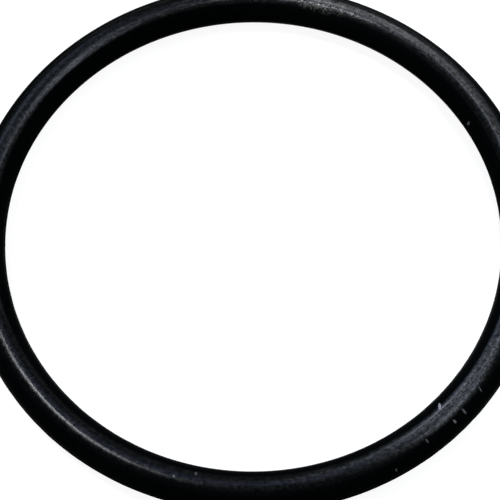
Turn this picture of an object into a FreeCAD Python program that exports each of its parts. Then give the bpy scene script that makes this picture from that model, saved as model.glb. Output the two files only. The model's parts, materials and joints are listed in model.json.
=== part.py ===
import FreeCAD, Part
import math
import os

# A moulded rubber sealing ring: one closed ring of round section, lying flat.
# Sizes are in millimetres. The origin is the ring's centre, half way up its
# section, and Z is the ring's axis, so X and Y are any two diameters.

# The two sizes that name a ring of this kind.
INSIDE_DIAMETER = 45.0
SECTION_DIAMETER = 3.55

# The two halves of the mould meet on the ring's mid plane. What squeezes out
# between them is trimmed off, and leaves a fine raised line all the way round
# the inside and the outside. The land is the width of its trimmed face, and a
# flank is how far the line spreads above and below that face at its root.
PARTING_LINE_HEIGHT = 0.05
PARTING_LINE_LAND = 0.12
PARTING_LINE_FLANK = 0.08

SECTION_RADIUS = SECTION_DIAMETER / 2
CENTRE_RADIUS = (INSIDE_DIAMETER + SECTION_DIAMETER) / 2
LAND_HALF = PARTING_LINE_LAND / 2
ROOT_HALF = LAND_HALF + PARTING_LINE_FLANK

CENTRE = FreeCAD.Vector(0, 0, 0)
AXIS = FreeCAD.Vector(0, 0, 1)
FULL_TURN = 360

# Which side of the section a point is on, and which mould half shaped it.
OUTSIDE = 1
INSIDE = -1
UPPER = 1
LOWER = -1


def section_point(outward, upward):
    """A point of the section, measured from the section's own middle."""
    return FreeCAD.Vector(CENTRE_RADIUS + outward, 0, upward)


def root_point(side, half):
    """Where the round section gives way to the parting line."""
    outward = math.sqrt(SECTION_RADIUS ** 2 - ROOT_HALF ** 2)
    return section_point(side * outward, half * ROOT_HALF)


def land_point(side, half):
    """A corner of the parting line's trimmed face."""
    outward = SECTION_RADIUS + PARTING_LINE_HEIGHT
    return section_point(side * outward, half * LAND_HALF)


def moulded_arc(half):
    """What one mould half shapes: the round section over the crown, or under it."""
    crown = section_point(0, half * SECTION_RADIUS)
    arc = Part.Arc(root_point(OUTSIDE, half), crown, root_point(INSIDE, half))
    return arc.toShape()


def parting_line(side):
    """The raised line on one side: its upper flank, trimmed face and lower flank."""
    corners = [
        root_point(side, UPPER),
        land_point(side, UPPER),
        land_point(side, LOWER),
        root_point(side, LOWER),
    ]
    pairs = zip(corners, corners[1:])
    return [Part.LineSegment(start, end).toShape() for start, end in pairs]


def ring_section():
    """The closed face that a cut straight across the ring shows."""
    edges = [moulded_arc(UPPER), moulded_arc(LOWER)]
    edges += parting_line(OUTSIDE)
    edges += parting_line(INSIDE)
    return Part.Face(Part.Wire(Part.__sortEdges__(edges)))


def o_ring():
    """The section turned once about the ring's axis."""
    return ring_section().revolve(CENTRE, AXIS, FULL_TURN)


def main():
    ring = o_ring()
    os.makedirs("parts", exist_ok=True)
    ring.exportStep("parts/o_ring.step")
    box = ring.optimalBoundingBox(False)
    print(ring.ShapeType, "valid", ring.isValid(), "faces", len(ring.Faces))
    print("size", round(box.XLength, 3), round(box.YLength, 3), round(box.ZLength, 3))
    print("volume", round(ring.Volume, 3))


main()
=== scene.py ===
import json
import math

import bpy
from mathutils import Matrix, Vector


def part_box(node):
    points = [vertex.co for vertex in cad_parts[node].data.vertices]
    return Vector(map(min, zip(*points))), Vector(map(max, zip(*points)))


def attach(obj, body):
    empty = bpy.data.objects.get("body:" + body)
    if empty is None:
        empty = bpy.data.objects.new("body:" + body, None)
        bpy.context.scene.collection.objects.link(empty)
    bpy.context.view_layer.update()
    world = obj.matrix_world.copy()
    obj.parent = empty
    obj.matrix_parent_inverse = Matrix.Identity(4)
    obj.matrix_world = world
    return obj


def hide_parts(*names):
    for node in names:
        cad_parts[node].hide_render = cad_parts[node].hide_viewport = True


# A moulded rubber o-ring lying flat on white. Everything is in metres, in the
# ring's own frame: the origin is its centre, half way up, and +Z is its axis.

MM = 0.001

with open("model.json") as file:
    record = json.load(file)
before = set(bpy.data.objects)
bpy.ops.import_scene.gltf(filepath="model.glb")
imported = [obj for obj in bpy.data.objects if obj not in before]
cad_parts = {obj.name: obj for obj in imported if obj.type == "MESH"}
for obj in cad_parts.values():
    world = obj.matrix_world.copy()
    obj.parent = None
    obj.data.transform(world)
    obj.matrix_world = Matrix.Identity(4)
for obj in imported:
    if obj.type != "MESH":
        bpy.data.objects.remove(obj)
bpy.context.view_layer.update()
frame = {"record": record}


def line_radius(name):
    """The radius of the parting line's trimmed face on one side, as packed."""
    mounts = frame["record"]["mounts"]
    return next(m["dims"]["r_mm"] for m in mounts if m["name"] == name) * MM


# The ring's form. Its radii and the floor's level come from the frame, and the parting line's
# height and half width are the CAD's.
PARTING_HEIGHT = 0.05 * MM
PARTING_LAND_HALF = 0.06 * MM
RING_RADIUS = (line_radius("outside_line") + line_radius("inside_line")) / 2
SECTION_RADIUS = (line_radius("outside_line") - line_radius("inside_line")) / 2 - PARTING_HEIGHT
FLOOR_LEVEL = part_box("o_ring")[0].z

# How finely the ring is divided: round its section, and along it.
SECTION_SIDES = 200
RING_STEPS = 480

# Points nearer to each other than this are one point.
SEAM = 0.002 * MM

# The trimmed edge of the parting line is a little ragged: how high, how long and how finely, and
# the tone of noise at which the edge stays where it is.
RAGGED_HEIGHT = 0.03 * MM
RAGGED_LENGTH = 0.7 * MM
RAGGED_DETAIL = 2
RAGGED_MIDDLE = 0.5

# Noise: its usual detail, and the values that nearly all of it and its middle lie between.
PLAIN_DETAIL = 2.0
NOISE_RANGE = (0.3, 0.7)
NOISE_MIDDLE = (0.35, 0.65)

# The rubber: its colour and gloss, and the size and height of each pattern in its surface. The
# sheen fades between two places on each side, as shares of the section's radius from its middle.
# A pattern's spread is the share by which it raises or lowers the sheen.
RUBBER_COLOUR = (0.0012, 0.0018, 0.0018)
ROUGHNESS = (0.20, 0.25)
MOTTLE_ROUGHNESS = (-0.02, 0.03)
CROWN_SHEEN = 0.169
SIDE_SHEEN = 0.001
SHEEN_OUTSIDE = (0.09, 0.59)
SHEEN_INSIDE = (0.37, 0.55)
MOULD_LINE_LENGTH = 9 * MM
MOULD_LINE_WIDTH = 0.30 * MM
MOULD_LINE_HEIGHT = 0.006 * MM
MOULD_LINE_SPREAD = 0.25
SCRATCH_LENGTH = 5 * MM
SCRATCH_WIDTH = 0.11 * MM
SCRATCH_HEIGHT = 0.003 * MM
SCRATCH_SPREAD = 0.2
MOTTLE_SIZE = 0.34 * MM
MOTTLE_HEIGHT = 0.006 * MM
MOTTLE_SPREAD = 0.45
MOTTLE_DETAIL = 3.0
GRAIN_SIZE = 0.16 * MM
GRAIN_HEIGHT = 0.0015 * MM
GRAIN_SPREAD = 0.3
GRAIN_DETAIL = 1.0
PATCH_SIZE = 5 * MM

# Pale specks on the crown, partly a scuff and partly a painted highlight along the sheen band at
# the upper right: the angle round the ring and the angle up the section of each one's middle, in
# degrees, how far it reaches from there, and how strong it is.
SCUFF_AND_HIGHLIGHT_PATCHES = (
    (77.0, 102, 0.9 * MM, 1.0),
    (74.5, 101, 1.1 * MM, 1.0),
    (72.0, 99, 1.2 * MM, 1.0),
    (69.0, 95, 1.1 * MM, 0.7),
    (65.0, 91, 1.0 * MM, 0.30),
    (60.5, 88, 1.0 * MM, 0.20),
    (56.0, 85, 1.0 * MM, 0.20),
    (51.0, 83, 1.0 * MM, 0.18),
    (45.5, 81, 1.0 * MM, 0.16),
    (40.0, 80, 0.9 * MM, 0.14),
)

# The share of a patch's reach that is paled in full, the size of its specks, the values of noise
# from no speck to a full one, and the specks' colour, part scuff and part painted highlight.
SCUFF_AND_HIGHLIGHT_HEART = 0.25
SCUFF_AND_HIGHLIGHT_SPECK = 0.20 * MM
SPECK_RANGE = (0.32, 0.72)
SCUFF_AND_HIGHLIGHT_COLOUR = (0.062, 0.056, 0.051)

# Flecks of lint on the ring: the angle round the ring from +X, the angle up the section from its
# outer side, both in degrees, then length, width, how far it leans from straight across, and tone.
FLECKS = (
    (312.0, 115.1, 0.80 * MM, 0.26 * MM, -39, 0.24),
    (314.9, 56.9, 0.65 * MM, 0.20 * MM, 0, 0.08),
    (312.1, 55.0, 0.40 * MM, 0.22 * MM, 8, 0.13),
    (305.2, 62.2, 0.42 * MM, 0.18 * MM, 5, 0.07),
    (297.2, 35.8, 0.40 * MM, 0.16 * MM, -5, 0.08),
    (320.5, 64.8, 0.62 * MM, 0.11 * MM, -15, 0.09),
    (257.1, 110.1, 0.36 * MM, 0.24 * MM, 20, 0.06),
    (252.9, 88.8, 0.20 * MM, 0.16 * MM, 0, 0.17),
    (27.4, 153.8, 0.38 * MM, 0.28 * MM, 10, 0.10),
)
FLECK_SIDES = 16
FLECK_THICKNESS = 0.035 * MM
FLECK_RAGGED = 0.02 * MM
FLECK_EDGE_ANGLE = 40

# The lint's look: the size and range of its changes in tone, its tint and its gloss.
LINT_GRAIN = 0.08 * MM
LINT_UNEVEN = (0.7, 1.3)
LINT_BLUE = 1.03
LINT_ROUGHNESS = 0.9
LINT_SHEEN = 0.2

# The camera, with lengths in ring radii. It looks down on the far side of the
# ring from above the near side, and aims a little aside of the centre.
CAMERA_ELEVATION = 65.79
CAMERA_ROLL = -1.15
CAMERA_DISTANCE = 7.049
CAMERA_ASIDE = -0.0116
CAMERA_ALONG = -0.0602
SENSOR_WIDTH = 36.0
LENS = 135.94
CAMERA_CLIP = (0.005, 10)

# The floor and the low wall round it. The floor's glow rises between two distances from the
# ring's axis, so that the ring's shadow shows, and what lies further out is white.
FLOOR_RADIUS = 1.4
FLOOR_SIDES = 96
WALL_HEIGHT = 0.23
WALL_BEND = 0.12
FLOOR_COLOUR = (0.22, 0.22, 0.22, 1)
WHITE = (1, 1, 1, 1)
FLOOR_GLOW = (0.92, 1.0)
FLOOR_GLOW_REACH = (0.04, 0.20)

# The dim room above the wall.
ROOM_COLOUR = (0.9, 0.95, 1.0, 1)
ROOM_STRENGTH = 0.20

# The lamps, with lengths in ring radii and angles in degrees. Each has a place, the point of the
# floor that it faces, its size, its turn, its brightness, how far its grid lets light spread, and a colour.
NEUTRAL = (0.91, 0.94, 1.0)
COOL = (0.79, 0.86, 1.0)
BLUE = (0.56, 0.69, 1.0)
DEEP_BLUE = (0.42, 0.50, 1.0)
LAMPS = (
    ("left_line", (-3.55, 1.86, 9.19), (-1.73, -0.40), (4.10, 1.62), -59, 68.35, 20, NEUTRAL),
    ("ceiling_line", (2.72, 1.56, 9.12), (0.66, 1.43), (11.57, 0.56), -52, 39.17, 51, COOL),
    ("right_panel", (4.35, 5.12, 3.49), (1.37, -0.87), (8.56, 1.71), -118, 2.82, 78, COOL),
    ("near_right_box", (1.10, 2.48, 3.90), (1.41, -0.40), (5.27, 1.33), -67, 34.38, 26, NEUTRAL),
    ("near_fill", (-0.52, 3.74, 7.17), (0.93, -0.48), (8.16, 5.62), 36, 1.03, 39, BLUE),
    ("back_panel", (-4.12, 5.72, 5.15), (1.38, -1.22), (7.01, 2.39), 48, 6.05, 49, BLUE),
    ("far_line", (0.60, 1.81, 5.55), (0.38, 1.00), (2.00, 0.46), -104, 417.44, 9, NEUTRAL),
    ("far_right_box", (2.21, 3.57, 3.46), (1.68, -0.14), (4.29, 1.55), -83, 19.76, 37, NEUTRAL),
    ("near_glow", (-0.52, 3.22, 4.69), (1.21, -1.53), (1.99, 4.81), -80, 33.25, 13, COOL),
    ("near_dim", (0.16, 1.76, 5.43), (-0.06, -0.82), (2.31, 3.20), -50, 1.66, 31, DEEP_BLUE),
)


def select_only(piece):
    """Makes one piece the selected and active one, because an operator acts on all that is."""
    bpy.ops.object.select_all(action="DESELECT")
    piece.select_set(True)
    bpy.context.view_layer.objects.active = piece


def pick_points(piece, wanted):
    """Selects the piece's points whose place passes the test, ready for edit mode."""
    mesh = piece.data
    for group in (mesh.vertices, mesh.edges, mesh.polygons):
        group.foreach_set("select", [False] * len(group))
    for point in mesh.vertices:
        point.select = wanted(point.co)


def edit(piece, wanted, *steps):
    """Runs the steps in edit mode on the points that pass the test."""
    select_only(piece)
    pick_points(piece, wanted)
    bpy.ops.object.mode_set(mode="EDIT")
    bpy.ops.mesh.select_mode(type="VERT")
    for step in steps:
        step()
    bpy.ops.object.mode_set(mode="OBJECT")


def everywhere(place):
    """Every point passes."""
    return True


def apply_modifier(piece, modifier):
    """Turns what the modifier shows into the piece's own mesh."""
    select_only(piece)
    bpy.ops.object.modifier_apply(modifier=modifier.name)


def finish_mesh():
    """In edit mode: closes seams, and turns every face outwards."""
    bpy.ops.mesh.select_all(action="SELECT")
    bpy.ops.mesh.remove_doubles(threshold=SEAM)
    bpy.ops.mesh.normals_make_consistent(inside=False)


def outward_of_middle(place):
    """How far a point lies outside the circle through the middle of the section."""
    return math.hypot(place.x, place.y) - RING_RADIUS


def ring_section():
    """The round section, standing on the +X side, with the parting line drawn out on both sides."""
    bpy.ops.object.select_all(action="DESELECT")
    bpy.ops.mesh.primitive_circle_add(
        vertices=SECTION_SIDES,
        radius=SECTION_RADIUS,
        location=(RING_RADIUS, 0, 0),
        rotation=(math.pi / 2, 0, 0),
    )
    section = bpy.context.object
    bpy.ops.object.transform_apply(location=True, rotation=True, scale=True)
    for side in (1, -1):
        edit(
            section,
            lambda place: abs(place.z) < PARTING_LAND_HALF and side * outward_of_middle(place) > 0,
            lambda: bpy.ops.transform.translate(value=(side * PARTING_HEIGHT, 0, 0)),
        )
    return section


def spin_round():
    """In edit mode: turns the section once about the ring's axis."""
    bpy.ops.mesh.spin(
        steps=RING_STEPS,
        angle=2 * math.pi,
        center=(0, 0, 0),
        axis=(0, 0, 1),
    )


def on_parting_line(place):
    """Whether a point is on the trimmed face of the parting line, inside or outside."""
    proud = abs(outward_of_middle(place)) - SECTION_RADIUS
    return abs(place.z) < PARTING_LAND_HALF and proud > PARTING_HEIGHT / 2


def rag_parting_line(ring):
    """Makes the trimmed edge of the parting line uneven, as a tumbling or a blade leaves it."""
    group = ring.vertex_groups.new(name="parting_line")
    edit(ring, on_parting_line, bpy.ops.object.vertex_group_assign)
    grit = bpy.data.textures.new("trimmed_edge", "CLOUDS")
    grit.noise_scale = RAGGED_LENGTH
    grit.noise_depth = RAGGED_DETAIL
    modifier = ring.modifiers.new("ragged_edge", "DISPLACE")
    modifier.texture = grit
    modifier.texture_coords = "LOCAL"
    modifier.vertex_group = group.name
    modifier.strength = RAGGED_HEIGHT
    modifier.mid_level = RAGGED_MIDDLE
    apply_modifier(ring, modifier)


def rubber_ring():
    """The whole ring: its section spun once round, closed and smooth."""
    ring = ring_section()
    ring.name = "rubber_ring"
    ring.data.name = "rubber_ring"
    edit(ring, everywhere, spin_round, finish_mesh)
    rag_parting_line(ring)
    select_only(ring)
    bpy.ops.object.shade_smooth()
    return ring


def fleck(ring, turn, climb, length, width, lean, tone):
    """A ragged sliver of lint, laid on the ring's surface and given a thickness."""
    bpy.ops.object.select_all(action="DESELECT")
    bpy.ops.mesh.primitive_circle_add(vertices=FLECK_SIDES, radius=0.5, fill_type="NGON")
    sliver = bpy.context.object
    seed = round(turn)
    edit(
        sliver,
        everywhere,
        bpy.ops.mesh.poke,
        lambda: bpy.ops.mesh.select_all(action="SELECT"),
        bpy.ops.mesh.subdivide,
        lambda: bpy.ops.transform.resize(value=(width, length, 1)),
        lambda: bpy.ops.transform.vertex_random(offset=FLECK_RAGGED, seed=seed),
    )
    swing = Matrix.Rotation(math.radians(turn), 4, "Z")
    round_ring = swing @ Matrix.Translation((RING_RADIUS, 0, 0))
    tilt = Matrix.Rotation(math.radians(90 - climb), 4, "Y")
    up_section = tilt @ Matrix.Translation((0, 0, SECTION_RADIUS))
    across = Matrix.Rotation(math.radians(90 + lean), 4, "Z")
    sliver.matrix_world = round_ring @ up_section @ across
    bpy.ops.object.transform_apply(location=True, rotation=True, scale=True)
    laid = sliver.modifiers.new("laid_on_ring", "SHRINKWRAP")
    laid.target = ring
    laid.wrap_mode = "ABOVE_SURFACE"
    laid.offset = FLECK_THICKNESS / 4
    apply_modifier(sliver, laid)
    thick = sliver.modifiers.new("thickness", "SOLIDIFY")
    thick.thickness = FLECK_THICKNESS
    thick.offset = 1
    apply_modifier(sliver, thick)
    edit(sliver, everywhere, finish_mesh)
    tones = sliver.data.attributes.new("tone", "FLOAT", "POINT")
    tones.data.foreach_set("value", [tone] * len(tones.data))
    return sliver


def lint(ring):
    """All the flecks of lint, as one piece."""
    slivers = [fleck(ring, *row) for row in FLECKS]
    bpy.ops.object.select_all(action="DESELECT")
    for sliver in slivers:
        sliver.select_set(True)
    bpy.context.view_layer.objects.active = slivers[0]
    bpy.ops.object.join()
    piece = slivers[0]
    piece.name = "lint_flecks"
    piece.data.name = "lint_flecks"
    select_only(piece)
    bpy.ops.object.shade_smooth_by_angle(angle=math.radians(FLECK_EDGE_ANGLE))
    return piece


class Nodes:
    """A material's node tree, with a short way to add and join nodes."""

    def __init__(self, name):
        self.material = bpy.data.materials.new(name)
        self.material.use_nodes = True
        self.tree = self.material.node_tree
        self.shader = self.tree.nodes["Principled BSDF"]

    def add(self, kind, settings=None, **sockets):
        """Adds a node with its settings, and joins or sets the sockets that are named."""
        node = self.tree.nodes.new(kind)
        for key, value in (settings or {}).items():
            setattr(node, key, value)
        for key, value in sockets.items():
            self.join(value, node.inputs[key.replace("_", " ")])
        return node

    def join(self, value, socket):
        """Links an output to a socket, or sets the socket if the value is plain."""
        if isinstance(value, bpy.types.NodeSocket):
            self.tree.links.new(value, socket)
        else:
            socket.default_value = value

    def math(self, operation, *values):
        """Adds a sum on the values, and gives its result."""
        node = self.tree.nodes.new("ShaderNodeMath")
        node.operation = operation
        for value, socket in zip(values, node.inputs):
            self.join(value, socket)
        return node.outputs[0]

    def between(self, value, low, high, out_low, out_high):
        """Carries a value from one range to another, and holds it there."""
        node = self.tree.nodes.new("ShaderNodeMapRange")
        node.interpolation_type = "SMOOTHSTEP"
        for item, socket in zip((value, low, high, out_low, out_high), node.inputs):
            self.join(item, socket)
        return node.outputs[0]


def section_coordinates(nodes):
    """Object coordinates, and how far each point lies outward of the section's middle."""
    place = nodes.add("ShaderNodeTexCoord").outputs["Object"]
    split = nodes.add("ShaderNodeSeparateXYZ", Vector=place)
    x, y, z = (split.outputs[name] for name in "XYZ")
    squares = nodes.math("ADD", nodes.math("MULTIPLY", x, x), nodes.math("MULTIPLY", y, y))
    outward = nodes.math("SUBTRACT", nodes.math("SQRT", squares), RING_RADIUS)
    return place, x, y, z, outward


def cells(nodes, place, size, detail=PLAIN_DETAIL):
    """Even noise whose cells have the given size."""
    return nodes.add("ShaderNodeTexNoise", Vector=place, Scale=1 / size, Detail=detail).outputs[0]


def streaks(nodes, x, y, z, outward, length, width):
    """Noise drawn out along the ring, as the turned mould leaves it in the rubber."""
    along = nodes.add("ShaderNodeCombineXYZ")
    nodes.join(nodes.math("DIVIDE", x, length), along.inputs["X"])
    nodes.join(nodes.math("DIVIDE", y, length), along.inputs["Y"])
    nodes.join(nodes.math("DIVIDE", outward, width), along.inputs["Z"])
    noise = nodes.add(
        "ShaderNodeTexNoise",
        {"noise_dimensions": "4D"},
        Vector=along.outputs[0],
        W=nodes.math("DIVIDE", z, width),
        Scale=1.0,
        Detail=PLAIN_DETAIL,
    )
    return noise.outputs[0]


def scuffed_and_highlit(nodes, place):
    """How far the rubber is paled by scuff and painted highlight, from 0 to 1: specks that thin out at each
    patch's edge.
    """
    cover = 0.0
    for turn, climb, reach, strength in SCUFF_AND_HIGHLIGHT_PATCHES:
        across = RING_RADIUS + SECTION_RADIUS * math.cos(math.radians(climb))
        round_ring = math.radians(turn)
        middle = (
            across * math.cos(round_ring),
            across * math.sin(round_ring),
            SECTION_RADIUS * math.sin(math.radians(climb)),
        )
        distance = nodes.add("ShaderNodeVectorMath", {"operation": "DISTANCE"}, Vector=place)
        nodes.join(middle, distance.inputs[1])
        patch = nodes.between(distance.outputs["Value"], reach * SCUFF_AND_HIGHLIGHT_HEART, reach, strength, 0.0)
        cover = nodes.math("MAXIMUM", patch, cover)
    specks = nodes.between(cells(nodes, place, SCUFF_AND_HIGHLIGHT_SPECK), *SPECK_RANGE, 0.0, 1.0)
    return nodes.math("MULTIPLY", cover, specks)


def rubber():
    """Near-black moulded rubber with a satin sheen: mould lines along it, mottled by handling.
    The crown is burnished a little, and the sides are dull."""
    nodes = Nodes("black_rubber")
    place, x, y, z, outward = section_coordinates(nodes)
    lines = streaks(nodes, x, y, z, outward, MOULD_LINE_LENGTH, MOULD_LINE_WIDTH)
    scratches = streaks(nodes, x, y, z, outward, SCRATCH_LENGTH, SCRATCH_WIDTH)
    mottle = cells(nodes, place, MOTTLE_SIZE, MOTTLE_DETAIL)
    grain = cells(nodes, place, GRAIN_SIZE, GRAIN_DETAIL)
    patches = cells(nodes, place, PATCH_SIZE)

    height = nodes.math("MULTIPLY", lines, MOULD_LINE_HEIGHT)
    for pattern, amount in ((scratches, SCRATCH_HEIGHT), (mottle, MOTTLE_HEIGHT), (grain, GRAIN_HEIGHT)):
        height = nodes.math("ADD", height, nodes.math("MULTIPLY", pattern, amount))
    bump = nodes.add("ShaderNodeBump", Strength=1.0, Distance=1.0, Height=height)

    dull = nodes.math(
        "ADD",
        nodes.between(mottle, *NOISE_MIDDLE, *MOTTLE_ROUGHNESS),
        nodes.between(patches, *NOISE_RANGE, *ROUGHNESS),
    )
    outside = nodes.math("DIVIDE", outward, SECTION_RADIUS)
    inside = nodes.math("MULTIPLY", outside, -1.0)
    sheen = nodes.between(outside, *SHEEN_OUTSIDE, CROWN_SHEEN, SIDE_SHEEN)
    inner_fade = nodes.between(inside, *SHEEN_INSIDE, 1.0, SIDE_SHEEN / CROWN_SHEEN)
    sheen = nodes.math("MULTIPLY", sheen, inner_fade)
    patterns = (
        (mottle, MOTTLE_SPREAD),
        (grain, GRAIN_SPREAD),
        (scratches, SCRATCH_SPREAD),
        (lines, MOULD_LINE_SPREAD),
    )
    for pattern, spread in patterns:
        uneven = nodes.between(pattern, *NOISE_RANGE, 1 - spread, 1 + spread)
        sheen = nodes.math("MULTIPLY", sheen, uneven)
    # Paled specks at the upper right of the crown: part scuff, part painted highlight on the sheen band.
    worn_and_highlit = scuffed_and_highlit(nodes, place)
    colour = nodes.add("ShaderNodeCombineColor")
    for name, fresh, pale in zip(("Red", "Green", "Blue"), RUBBER_COLOUR, SCUFF_AND_HIGHLIGHT_COLOUR):
        nodes.join(nodes.between(worn_and_highlit, 0.0, 1.0, fresh, pale), colour.inputs[name])
    nodes.join(colour.outputs[0], nodes.shader.inputs["Base Color"])
    nodes.join(dull, nodes.shader.inputs["Roughness"])
    nodes.join(sheen, nodes.shader.inputs["Specular IOR Level"])
    nodes.join(bump.outputs[0], nodes.shader.inputs["Normal"])
    return nodes.material


def pale_lint():
    """Matt fibre dust, a little uneven in tone."""
    nodes = Nodes("pale_lint")
    place = nodes.add("ShaderNodeTexCoord").outputs["Object"]
    tone = nodes.add("ShaderNodeAttribute", {"attribute_name": "tone"}).outputs["Fac"]
    grain = cells(nodes, place, LINT_GRAIN)
    tone = nodes.math("MULTIPLY", tone, nodes.between(grain, *NOISE_RANGE, *LINT_UNEVEN))
    blue = nodes.math("MULTIPLY", tone, LINT_BLUE)
    colour = nodes.add("ShaderNodeCombineColor", Red=tone, Green=tone, Blue=blue)
    nodes.join(colour.outputs[0], nodes.shader.inputs["Base Color"])
    nodes.join(LINT_ROUGHNESS, nodes.shader.inputs["Roughness"])
    nodes.join(LINT_SHEEN, nodes.shader.inputs["Specular IOR Level"])
    return nodes.material


def white_ground():
    """A pale floor that shows white to the camera, and keeps the ring's shadow."""
    nodes = Nodes("white_ground")
    path = nodes.add("ShaderNodeLightPath")
    seen = nodes.math("MAXIMUM", path.outputs["Is Camera Ray"], path.outputs["Is Glossy Ray"])
    seen = nodes.math("MAXIMUM", seen, path.outputs["Is Transmission Ray"])
    nodes.join(FLOOR_COLOUR, nodes.shader.inputs["Base Color"])
    nodes.join(1.0, nodes.shader.inputs["Roughness"])
    nodes.join(0.0, nodes.shader.inputs["Specular IOR Level"])
    nodes.join(WHITE, nodes.shader.inputs["Emission Color"])
    place = nodes.add("ShaderNodeTexCoord").outputs["Object"]
    distance = nodes.add("ShaderNodeVectorMath", {"operation": "LENGTH"}, Vector=place).outputs["Value"]
    glow = nodes.between(distance, *FLOOR_GLOW_REACH, *FLOOR_GLOW)
    nodes.join(nodes.math("MULTIPLY", seen, glow), nodes.shader.inputs["Emission Strength"])
    return nodes.material


def ground():
    """A round floor that turns up into a low wall, so that every view has white behind the ring."""
    bpy.ops.object.select_all(action="DESELECT")
    bpy.ops.mesh.primitive_circle_add(
        vertices=FLOOR_SIDES,
        radius=FLOOR_RADIUS,
        fill_type="NGON",
        location=(0, 0, FLOOR_LEVEL),
    )
    floor = bpy.context.object
    floor.name = "ground"
    bpy.ops.object.transform_apply(location=True, rotation=True, scale=True)
    edit(
        floor,
        everywhere,
        lambda: bpy.ops.mesh.select_mode(type="FACE"),
        lambda: bpy.ops.mesh.select_all(action="SELECT"),
        lambda: bpy.ops.mesh.inset(thickness=WALL_BEND),
        lambda: bpy.ops.mesh.select_mode(type="VERT"),
    )
    edit(
        floor,
        lambda place: math.hypot(place.x, place.y) > FLOOR_RADIUS - WALL_BEND / 2,
        lambda: bpy.ops.transform.translate(value=(0, 0, WALL_HEIGHT)),
    )
    floor.data.materials.append(white_ground())


def lamp(name, place, aim, size, turn, brightness, spread, colour):
    """A flat soft box that faces a point of the floor. Its grid narrows its light, as the spread says."""
    data = bpy.data.lights.new(name, "AREA")
    data.shape = "RECTANGLE"
    data.size, data.size_y = (length * RING_RADIUS for length in size)
    data.spread = math.radians(spread)
    data.color = colour
    half = data.spread / 2
    area = data.size * data.size_y
    data.energy = brightness * math.pi * area * (1 - half / math.tan(half))
    stand = Vector(place) * RING_RADIUS
    facing = (Vector((*aim, 0)) * RING_RADIUS - stand).normalized()
    across = facing.cross(Vector((0, 1, 0))).normalized()
    axes = Matrix((across, across.cross(facing), -facing)).transposed()
    turned = axes @ Matrix.Rotation(math.radians(turn), 3, "Z")
    holder = bpy.data.objects.new(name, data)
    bpy.context.scene.collection.objects.link(holder)
    holder.matrix_world = Matrix.Translation(stand) @ turned.to_4x4()
    holder.visible_camera = False


def lamps():
    """All the soft boxes."""
    for row in LAMPS:
        lamp(*row)


def camera():
    """The camera, at the photograph's angle."""
    data = bpy.data.cameras.new("camera")
    data.sensor_width = SENSOR_WIDTH
    data.lens = LENS
    data.clip_start, data.clip_end = CAMERA_CLIP
    holder = bpy.data.objects.new("camera", data)
    bpy.context.scene.collection.objects.link(holder)
    tilt = Matrix.Rotation(math.radians(90 - CAMERA_ELEVATION), 4, "X")
    turn = tilt @ Matrix.Rotation(math.radians(CAMERA_ROLL), 4, "Z")
    offset = Vector((CAMERA_ASIDE, CAMERA_ALONG, 0))
    back = tilt.to_3x3() @ Vector((0, 0, CAMERA_DISTANCE))
    aside = turn.to_3x3() @ offset
    holder.matrix_world = Matrix.Translation((back + aside) * RING_RADIUS) @ turn
    bpy.context.scene.camera = holder


def dim_world():
    """The dim, even light of the room."""
    world = bpy.data.worlds.new("dim_room")
    world.use_nodes = True
    background = world.node_tree.nodes["Background"]
    background.inputs["Color"].default_value = ROOM_COLOUR
    background.inputs["Strength"].default_value = ROOM_STRENGTH
    bpy.context.scene.world = world


def main():
    """Makes the ring and its lint, and what they are seen in."""
    bpy.context.scene.view_settings.view_transform = "Standard"
    ring = rubber_ring()
    ring.data.materials.append(rubber())
    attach(ring, "root")
    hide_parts("o_ring")
    flecks = lint(ring)
    flecks.data.materials.append(pale_lint())
    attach(flecks, "root")
    ground()
    lamps()
    dim_world()
    camera()


main()
